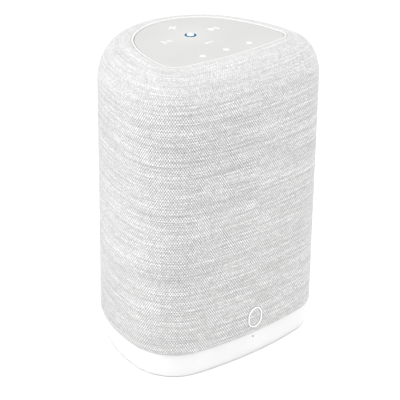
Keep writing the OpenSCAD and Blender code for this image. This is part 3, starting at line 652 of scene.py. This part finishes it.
def speaker_cloth(material):
    """The sleeve: one sheet with thickness, hemmed at its foot, its rim and the window for the rear bay."""
    s, window_start, window_end = window_columns()
    outer, inner, low, high = cloth_profiles()
    profile = outer + inner[::-1]
    along = [0.0]
    for a, b in zip(outer[:-1], outer[1:]):
        along.append(along[-1] + math.dist(a, b))
    heights = along + along[:len(inner)][::-1]
    points = np.array([np.column_stack([outline(s, inset), np.full(len(s), z)]) for inset, z in profile])
    # A shallow dip runs up the back where the sleeve's two edges meet
    off = s - PERIMETER / 2
    points[:, :, 1] -= 0.35 * MM * np.exp(-((off / (SEAM_W / 2)) ** 2))
    first = int(np.argmin(np.abs(s - window_start)))
    last = int(np.argmin(np.abs(s - window_end)))
    faces = cloth_faces(len(profile), len(s), len(outer), (low, high, first, last))
    piece = add_object("speaker_cloth", points.reshape(-1, 3), faces, material)
    lay_cloth_map(piece, s, heights)
    return piece


def top_trim(material):
    """The narrow ring between the cloth and the touch panel, its lip just proud of the panel."""
    inset = RIM_INSET + TRIM_GAP
    inner = inset + TRIM_W
    return outline_band("top_trim", eased([
        (inset, TRIM_LOW.z),
        (inset, TRIM_HIGH.z),
        (inset + LIP_W, TRIM_HIGH.z),
        (inner, PANEL_TOP + 0.08 * MM),
        (inner, PANEL_LOW.z),
        (inner + 2 * MM, PANEL_LOW.z),
        (inner + 2 * MM, TRIM_LOW.z),
    ], 0.2 * MM), material)


def base_band(material):
    """The plain band under the cloth, rounded in at its lower edge."""
    inset, inner, low, top = 1.3 * MM, 4.6 * MM, 0.15 * MM, BASE_HIGH.z
    round_w, round_h = 2 * MM, BASE_LOW.z + 6.9 * MM - low
    curve = [
        (inset + round_w * (1 - math.sin(a)), low + round_h * (1 - math.cos(a)))
        for a in np.linspace(0, math.pi / 2, 14)
    ]
    rest = [(inset, top - 1.5 * MM), (inset, top), (inner, top), (inner, low)]
    return outline_band("base_band", curve + eased(rest, 0.45 * MM, closed=False), material)


def panel_height(x, y):
    """Height of the dished touch panel."""
    reach = np.hypot(x / (38 * MM), (y + 3 * MM) / (34 * MM))
    return PANEL_TOP - DISH * np.clip(1 - reach ** 2, 0, 1)


def touch_panel(material):
    """The touch panel, gently dished, with an eased edge."""
    n = OUTLINE_POINTS
    s = np.arange(n) * PERIMETER / n
    inset = RIM_INSET + TRIM_GAP + TRIM_W + PANEL_GAP
    edge = outline(s, inset)
    middle = np.array([0.0, edge[:, 1].mean()])
    rows = [np.column_stack([edge, np.full(n, z)]) for z in (PANEL_LOW.z, PANEL_TOP - 0.35 * MM)]
    for ease, drop in ((0.12 * MM, 0.12 * MM), (0.3 * MM, 0.02 * MM)):
        ring = outline(s, inset + ease)
        rows.append(np.column_stack([ring, panel_height(*ring.T) - drop]))
    ring = outline(s, inset + 0.6 * MM)
    for k in np.linspace(1, 0.04, 34):
        scaled = middle + (ring - middle) * k
        rows.append(np.column_stack([scaled, panel_height(*scaled.T)]))
    vertices = np.concatenate(rows)
    faces = grid_faces(len(rows), n, wrap_rows=False)
    last = len(vertices) - n
    faces.append(tuple(range(last, last + n)))
    faces.append(tuple(range(n - 1, -1, -1)))
    return add_object("touch_panel_top", vertices, faces, material)


def relief(name, shapes, material, proud):
    """Flat shapes, each a list of (x, y) corners, standing a little proud of the touch panel."""
    depth = 0.3 * MM
    vertices, faces = [], []
    for shape in shapes:
        n = len(shape)
        start = len(vertices)
        centre = np.mean(shape, axis=0)
        for inset, lift in ((0.0, -depth), (0.0, proud * 0.4), (0.05 * MM, proud)):
            for p in shape:
                q = p + (centre - p) / max(np.linalg.norm(centre - p), 1e-9) * inset
                vertices.append((q[0], q[1], panel_height(*q) + lift))
        faces += [tuple(start + k for k in face) for face in grid_faces(3, n, wrap_rows=False)]
        faces.append(tuple(start + 2 * n + i for i in range(n)))
        faces.append(tuple(start + i for i in range(n - 1, -1, -1)))
    return add_object(name, vertices, faces, material)


def rounded_polygon(corners, radius):
    return [np.array(p) for p in eased(corners, radius)]


def bar(x, y, w, h):
    """A bar with rounded corners."""
    box = [(x - w / 2, y - h / 2), (x + w / 2, y - h / 2), (x + w / 2, y + h / 2), (x - w / 2, y + h / 2)]
    return rounded_polygon(box, 0.35 * MM)


def disc(x, y, r):
    return [np.array([x + r * math.cos(a), y + r * math.sin(a)]) for a in around(40)]


def skip_shapes(side):
    """A triangle and a bar, pointing right for side 1 and left for -1."""
    half, line, gap = 3 * MM, 1.2 * MM, 0.4 * MM
    rise = half * 0.8
    triangle = [(-half, -rise), (half - line - gap, 0), (-half, rise)]
    stop = [(half - line, -rise), (half, -rise), (half, rise), (half - line, rise)]
    made = []
    for corners, radius in ((triangle, 0.3 * MM), (stop, 0.25 * MM)):
        placed = [(side * (ICON_DX + x), RING_Y + y) for x, y in corners]
        made.append(rounded_polygon(placed[::side], radius))
    return made


def cross(x, y, length, line):
    h, w = length / 2, line / 2
    corners = [
        (-w, -h), (w, -h), (w, -w), (h, -w), (h, w), (w, w),
        (w, h), (-w, h), (-w, w), (-h, w), (-h, -w), (-w, -w),
    ]
    return rounded_polygon([(x + a, y + b) for a, b in corners], 0.25 * MM)


def icon_shapes():
    preset_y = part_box("touch_icons")[0].y + PRESET_R
    length, line = 6 * MM, 1.2 * MM
    shapes = [cross(0, RING_Y + ICON_DY, length, line), bar(0, RING_Y - ICON_DY, length, line)]
    shapes += skip_shapes(1) + skip_shapes(-1)
    return shapes + [disc(i * ICON_DX, preset_y, PRESET_R) for i in (-1, 0, 1)]


def lathe(name, profile, material, n=64, axis_at=(0, 0, 0), turn=None):
    """A closed profile of (radius, height) points turned about +Z, then laid along turn."""
    vertices = [(r * math.cos(a), r * math.sin(a), z) for r, z in profile for a in around(n)]
    place = Matrix.Translation(axis_at) @ (turn or Matrix())
    vertices = [place @ Vector(v) for v in vertices]
    return add_object(name, vertices, grid_faces(len(profile), n), material)


def status_light(material):
    """The lit ring, set into the panel with a rounded top."""
    z = float(panel_height(0, RING_Y))
    inner, low, high = RING_R - RING_LINE, z - 1 * MM, z + 0.05 * MM
    profile = eased([(RING_R, low), (RING_R, high), (inner, high), (inner, low)], 0.2 * MM)
    return lathe("status_light", profile, material, axis_at=(0, RING_Y, 0))


def centre_button(material):
    """The white middle of the lit ring, a low crowned button."""
    z = float(panel_height(0, RING_Y))
    r = RING_R - RING_LINE - 0.05 * MM
    rise = BUTTON_PROUD
    profile = [(0.0, z - 0.6 * MM), (r, z - 0.6 * MM), (r, z + rise * 0.55)]
    profile += [
        (r - 0.3 * MM * (1 - math.cos(a)), z + rise * (0.55 + 0.35 * math.sin(a)))
        for a in (0.4, 0.8, 1.2, 1.57)
    ]
    profile += [(r * k, z + rise * (1 - 0.1 * k * k)) for k in (0.75, 0.5, 0.25, 0.0)]
    return lathe("centre_button", profile, material, axis_at=(0, RING_Y, 0))


def pill_band(name, material, line, proud, rise):
    """A pill-shaped outline on the front, round in section, bent to the cloth and standing proud of it."""
    low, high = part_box("emblem")
    w, h = high.x - low.x, high.z - low.z
    middle = (low.z + high.z) / 2
    n, m = 96, 12
    run = w / 2 - BADGE_LINE / 2
    straight = (h - w) / 2
    vertices = []
    for a in around(n):
        mid_x = run * math.cos(a)
        mid_z = run * math.sin(a) + math.copysign(straight, math.sin(a))
        for b in around(m):
            lift = min(max(rise * math.sin(b), -0.3 * MM), proud)
            x = mid_x + line / 2 * math.cos(b) * math.cos(a)
            z = mid_z + line / 2 * math.cos(b) * math.sin(a)
            y = FRONT_Y + FRONT_R - math.sqrt(FRONT_R ** 2 - x ** 2) - lift
            vertices.append((x, y, middle + z))
    return add_object(name, vertices, grid_faces(n, m), material)


# Rear bay, underside and drivers

def soften(piece, width, cad=False):
    """Rounds a piece's sharp edges. A CAD mesh's split triangles are joined into faces first."""
    if cad:
        piece.modifiers.new("weld", "WELD").merge_threshold = 0.001 * MM
        faces = piece.modifiers.new("faces", "DECIMATE")
        faces.decimate_type = "DISSOLVE"
        faces.angle_limit = math.radians(0.5)
    edges = piece.modifiers.new("edges", "BEVEL")
    edges.width = width
    edges.segments = 3
    edges.limit_method = "ANGLE"
    edges.angle_limit = math.radians(40)
    if cad:
        piece.modifiers.new("flat_faces", "WEIGHTED_NORMAL").weight = 100


def boxes(name, spans, material, edge):
    """Boxes given by their lowest and highest corners, with rounded edges."""
    sides = [(0, 1, 3, 2), (4, 6, 7, 5), (0, 4, 5, 1), (2, 3, 7, 6), (0, 2, 6, 4), (1, 5, 7, 3)]
    vertices, faces = [], []
    for low, high in spans:
        faces += [tuple(len(vertices) + i for i in side) for side in sides]
        vertices += list(itertools.product(*zip(low, high)))
    made = add_object(name, vertices, faces, material)
    soften(made, edge)
    return made


def wires(name, routes, radius, material):
    """Round wires along routes in the y-z plane, each route an x and its (y, z) points."""
    sides = 8
    vertices, faces = [], []
    for x, points in routes:
        start, count = len(vertices), len(points)
        for i, point in enumerate(points):
            before, after = Vector(points[max(i - 1, 0)]), Vector(points[min(i + 1, count - 1)])
            normal = Vector((-(after - before).y, (after - before).x)).normalized()
            for a in around(sides):
                off = normal * radius * math.sin(a)
                vertices.append((x + radius * math.cos(a), point[0] + off.x, point[1] + off.y))
        faces += [tuple(start + k for k in face) for face in grid_faces(count, sides, wrap_rows=False)]
        faces += [tuple(range(start + sides - 1, start - 1, -1))]
        faces += [tuple(range(start + (count - 1) * sides, start + count * sides))]
    return add_object(name, vertices, faces, material)


def network_contacts(material):
    """Eight sprung contacts, rising from the floor of the network jack."""
    low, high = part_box("ethernet_jack")
    middle, floor_z = (low.x + high.x) / 2, low.z + 2.4 * MM
    pitch, front, back = 1.02 * MM, high.y - 2 * MM, low.y + 3.4 * MM
    points = [(front, floor_z), (front - 4 * MM, floor_z + 0.1 * MM), (front - 5.5 * MM, floor_z + 0.7 * MM)]
    points += [(back, floor_z + 3 * MM)]
    routes = [(middle + (i - 3.5) * pitch, points) for i in range(8)]
    return wires("network_contacts", routes, 0.2 * MM, material)


def usb_contacts(material):
    """Four flat contacts under the tongue of the USB socket."""
    low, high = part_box("usb_jack")
    middle, tongue_z = (low.x + high.x) / 2, (low.z + high.z) / 2 + 0.4 * MM
    back, front = low.y + 3 * MM, high.y - 3 * MM
    under, over = tongue_z - 0.12 * MM, tongue_z + 0.1 * MM
    spans = [
        ((middle + x - w, back, under), (middle + x + w, front, over))
        for x, w in ((-3.5 * MM, 0.6 * MM), (-1 * MM, 0.5 * MM), (1 * MM, 0.5 * MM), (3.5 * MM, 0.6 * MM))
    ]
    return boxes("usb_contacts", spans, material, 0.04 * MM)


def link_window(name, side, material):
    """A small light window in a top corner of the network jack's face."""
    low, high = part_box("ethernet_jack")
    x = (low.x + high.x) / 2 + side * 5.6 * MM
    z = high.z - 1.5 * MM
    span = ((x - 1.4 * MM, high.y - 0.5 * MM, z - 0.7 * MM), (x + 1.4 * MM, high.y + 0.12 * MM, z + 0.7 * MM))
    return boxes(name, [span], material, 0.12 * MM)


def audio_collar(material):
    """A stepped metal collar round the mouth of the audio jack."""
    low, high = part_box("audio_jack")
    at = ((low.x + high.x) / 2, high.y, (low.z + high.z) / 2)
    steps = [(1.9, -1), (1.9, 0.1), (2.3, 0.35), (2.9, 0.35), (3.1, 0.05), (3.1, -1)]
    profile = eased([(r * MM, h * MM) for r, h in steps], 0.1 * MM)
    return lathe("audio_collar", profile, material, axis_at=at, turn=BACKWARD)


def button_face(material):
    """Turned grooves on the service button's face."""
    low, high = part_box("service_button")
    at = ((low.x + high.x) / 2, high.y, (low.z + high.z) / 2)
    rim = 2.9 * MM
    profile = [(0, -0.4 * MM), (rim, -0.4 * MM), (rim, 0.0)]
    profile += [(r * MM, (0.1 + 0.04 * math.cos(r * 9)) * MM) for r in np.linspace(2.75, 0.3, 26)]
    profile += [(0, 0.1 * MM)]
    return lathe("button_face", profile, material, axis_at=at, turn=BACKWARD)


def seam_stitches(material):
    """Short stitches that close the sleeve up the middle of its back, above the rear bay."""
    stitch, gap, wide = 2.3 * MM, 0.9 * MM, 0.3 * MM
    y = SLEEVE_HIGH.y - 0.35 * MM
    spans = []
    z = BAY_HIGH.z + 2 * MM
    while z + stitch < SHOULDER_Z + 4 * MM:
        for side in (-1, 1):
            x = side * 0.9 * MM
            spans.append(((x - wide, y - 0.2 * MM, z), (x + wide, y + 0.4 * MM, z + stitch)))
        z += stitch + gap
    return boxes("seam_stitches", spans, material, 0.22 * MM)


def flexing(piece, node):
    """A round driver part, with its placing baked into its mesh and its CAD node hidden."""
    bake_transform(piece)
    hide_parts(node)


def driver_ring(name, profile, material):
    """A profile turned about the woofer's axis, its heights measured forward from the baffle."""
    low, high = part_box("woofer_cone")
    at = ((low.x + high.x) / 2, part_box("front_baffle")[0].y, (low.z + high.z) / 2)
    return lathe(name, profile, material, n=96, axis_at=at, turn=FORWARD)


def roll_surround(material):
    """The half-roll between the cone and the basket."""
    middle, rim = 38.4 * MM, 44.8 * MM
    inner, front, back = 34 * MM, 0.7 * MM, 0.02 * MM
    outside, inside = 2.9 * MM, 2.2 * MM
    turns = np.linspace(0, math.pi, 20)
    over = [(middle - outside * math.cos(a), front + outside * math.sin(a)) for a in turns]
    turns = np.linspace(0, math.pi, 16)
    under = [(middle + inside * math.cos(a), back + inside * math.sin(a)) for a in turns]
    profile = [(inner, back), (inner, front)] + over + [(rim, front), (rim, back)] + under
    return driver_ring("roll_surround", profile, material)


def corrugated_spider(material):
    """The pleated cloth disc that centres the voice coil."""
    inner, span, rim = 13 * MM, 12.8 * MM, 27.8 * MM
    z, thick, pleat, waves = -19.9 * MM, 0.5 * MM, 0.5 * MM, 4
    face = [
        (inner + span * t, z + pleat * (1 - math.cos(2 * math.pi * waves * t)))
        for t in np.linspace(0, 1, 65)
    ]
    profile = face + [(rim, z), (rim, z + thick)] + [(r, h + thick) for r, h in reversed(face)]
    return driver_ring("corrugated_spider", profile, material)


def finish_nodes(finishes):
    """Gives each CAD node that stays its slot's material, and rounds the edges of the ones in view."""
    rounded = {
        "bay_frame": 0.45, "rear_panel": 0.2, "rear_panel_screws": 0.15, "service_button": 0.2,
        "mains_inlet": 0.4, "mains_pins": 0.25, "ethernet_jack": 0.25, "usb_jack": 0.15, "audio_jack": 0.2,
        "foot_pad": 0.4, "base_plate": 0.2, "base_screws": 0.15, "threaded_insert": 0.15, "sensor_lens": 0.15,
        "wifi_module": 0.3, "heatsink": 0.2, "psu_transformer": 0.6, "psu_capacitors": 0.6,
        "driver_screws": 0.1,
    }
    for part in frame["record"]["subparts"]:
        node = frame["nodes"][part["node"]]
        if part["material_slot"] in finishes:
            node.data.materials.clear()
            node.data.materials.append(finishes[part["material_slot"]])
        if part["node"] in rounded:
            soften(node, rounded[part["node"]] * MM, cad=True)


# Room

def floor_material():
    g = Graph("floor", Roughness=0.8)
    cloud = g.noise(g.place(), 3, 3)
    g.set("Base Color", g.blend(cloud, grey(0.93), grey(0.95)))
    return g.material


def floor():
    size = 6.0
    corners = [(-size, -size, 0), (size, -size, 0), (size, size, 0), (-size, size, 0)]
    made = add_object("floor", corners, [(0, 1, 2, 3)], floor_material(), smooth=False)


def area_light(name, place, aim, size, power):
    data = bpy.data.lights.new(name, "AREA")
    data.shape = "DISK"
    data.size = size
    data.energy = power
    made = bpy.data.objects.new(name, data)
    bpy.context.scene.collection.objects.link(made)
    made.location = place
    made.rotation_mode = "QUATERNION"
    made.rotation_quaternion = (Vector(place) - Vector(aim)).to_track_quat("Z", "Y")


def lighting():
    scene = bpy.context.scene
    scene.view_settings.view_transform = "Standard"
    world = bpy.data.worlds.new("studio")
    world.use_nodes = True
    background = world.node_tree.nodes["Background"]
    background.inputs["Color"].default_value = (1, 1, 1, 1)
    background.inputs["Strength"].default_value = 0.74
    scene.world = world
    aim = (0, 0, 0.09)
    area_light("key_left", (-1.4, 0.3, 0.8), aim, 1.2, 14)
    area_light("fill_right", (1.3, -1.3, 0.8), aim, 1.2, 12)
    area_light("overhead", (0.0, -0.3, 1.8), aim, 1.4, 16)


def camera():
    """The photograph's view: azimuth from straight in front, elevation, and a slight roll."""
    azimuth, elevation, roll = math.radians(-40.9), math.radians(25.37), math.radians(0.66)
    distance, target = 0.938, Vector((0, 0.00025, 0.0814))
    back = Vector((
        math.sin(azimuth) * math.cos(elevation), -math.cos(azimuth) * math.cos(elevation), math.sin(elevation)
    ))
    level = Vector((0, 0, 1)).cross(back).normalized()
    upward = back.cross(level)
    right = level * math.cos(roll) + upward * math.sin(roll)
    up = upward * math.cos(roll) - level * math.sin(roll)
    data = bpy.data.cameras.new("camera")
    data.lens = 143
    data.shift_x = 0.0123
    made = bpy.data.objects.new("camera", data)
    bpy.context.scene.collection.objects.link(made)
    place = target + back * distance
    made.matrix_world = Matrix((
        (right.x, up.x, back.x, place.x), (right.y, up.y, back.y, place.y), (right.z, up.z, back.z, place.z),
        (0, 0, 0, 1),
    ))
    bpy.context.scene.camera = made


camera()
lighting()
floor()

cloth = belongs(speaker_cloth(cloth_material()), "cover_fabric", "fabric_sleeve")
white = moulded("satin_white", (0.68, 0.68, 0.675), roughness=0.32)
belongs(top_trim(white), "trim_white", "top_trim_ring")
belongs(base_band(moulded("base_white", grey(0.73), roughness=0.35)), "base_white", "base_ring")
belongs(touch_panel(panel_finish()), "panel_white", "touch_panel")
icon_material = moulded("icon_white", (0.75, 0.75, 0.74), roughness=0.3, depth=0.003 * MM)
belongs(relief("touch_marks", icon_shapes(), icon_material, ICON_PROUD), "icon_white", "touch_icons")
belongs(status_light(lit_material()), "ring_light", "status_ring")
belongs(centre_button(painted_glow_material()), "icon_white", "touch_panel")
badge_white = moulded("badge_white", grey(0.88), roughness=0.28)
badge = pill_band("badge", badge_white, BADGE_LINE, 0.5 * MM, 0.62 * MM)
belongs(badge, "badge_plastic", "emblem")
# A dark grey band, a little wider than the badge, laid just under it on the cloth: a painted shadow that
# outlines the badge
badge_shadow_paint = moulded("badge_painted_shadow_grey", grey(0.2), roughness=0.7)
badge_shadow_band = pill_band("badge_painted_shadow", badge_shadow_paint, BADGE_LINE + 0.6 * MM, 0.1 * MM, 0.3 * MM)
belongs(badge_shadow_band, "badge_plastic", "emblem")

finishes = inner_finishes()
finish_nodes(finishes)
gold = metal("contact_gold", (0.85, 0.62, 0.25), 0.22)
belongs(network_contacts(gold), "pin_metal")
belongs(usb_contacts(gold), "pin_metal")
belongs(link_window("link_light", -1, moulded("link_green", (0.12, 0.4, 0.1), 0.2)), "led_package")
belongs(link_window("data_light", 1, moulded("data_amber", (0.6, 0.33, 0.05), 0.2)), "led_package")
belongs(audio_collar(finishes["jack_metal"]), "jack_metal")
belongs(button_face(finishes["button_metal"]), "button_metal", body="service_button")
thread = fibrous("stitch_thread", grey(0.5), grey(0.72), 2200, 0.05 * MM, stretch=(1, 1, 0.25))
belongs(seam_stitches(thread), "cover_fabric")
surround = roll_surround(finishes["surround_rubber"])
flexing(surround, "woofer_surround")
spider = corrugated_spider(finishes["spider_cloth"])
flexing(spider, "woofer_spider")
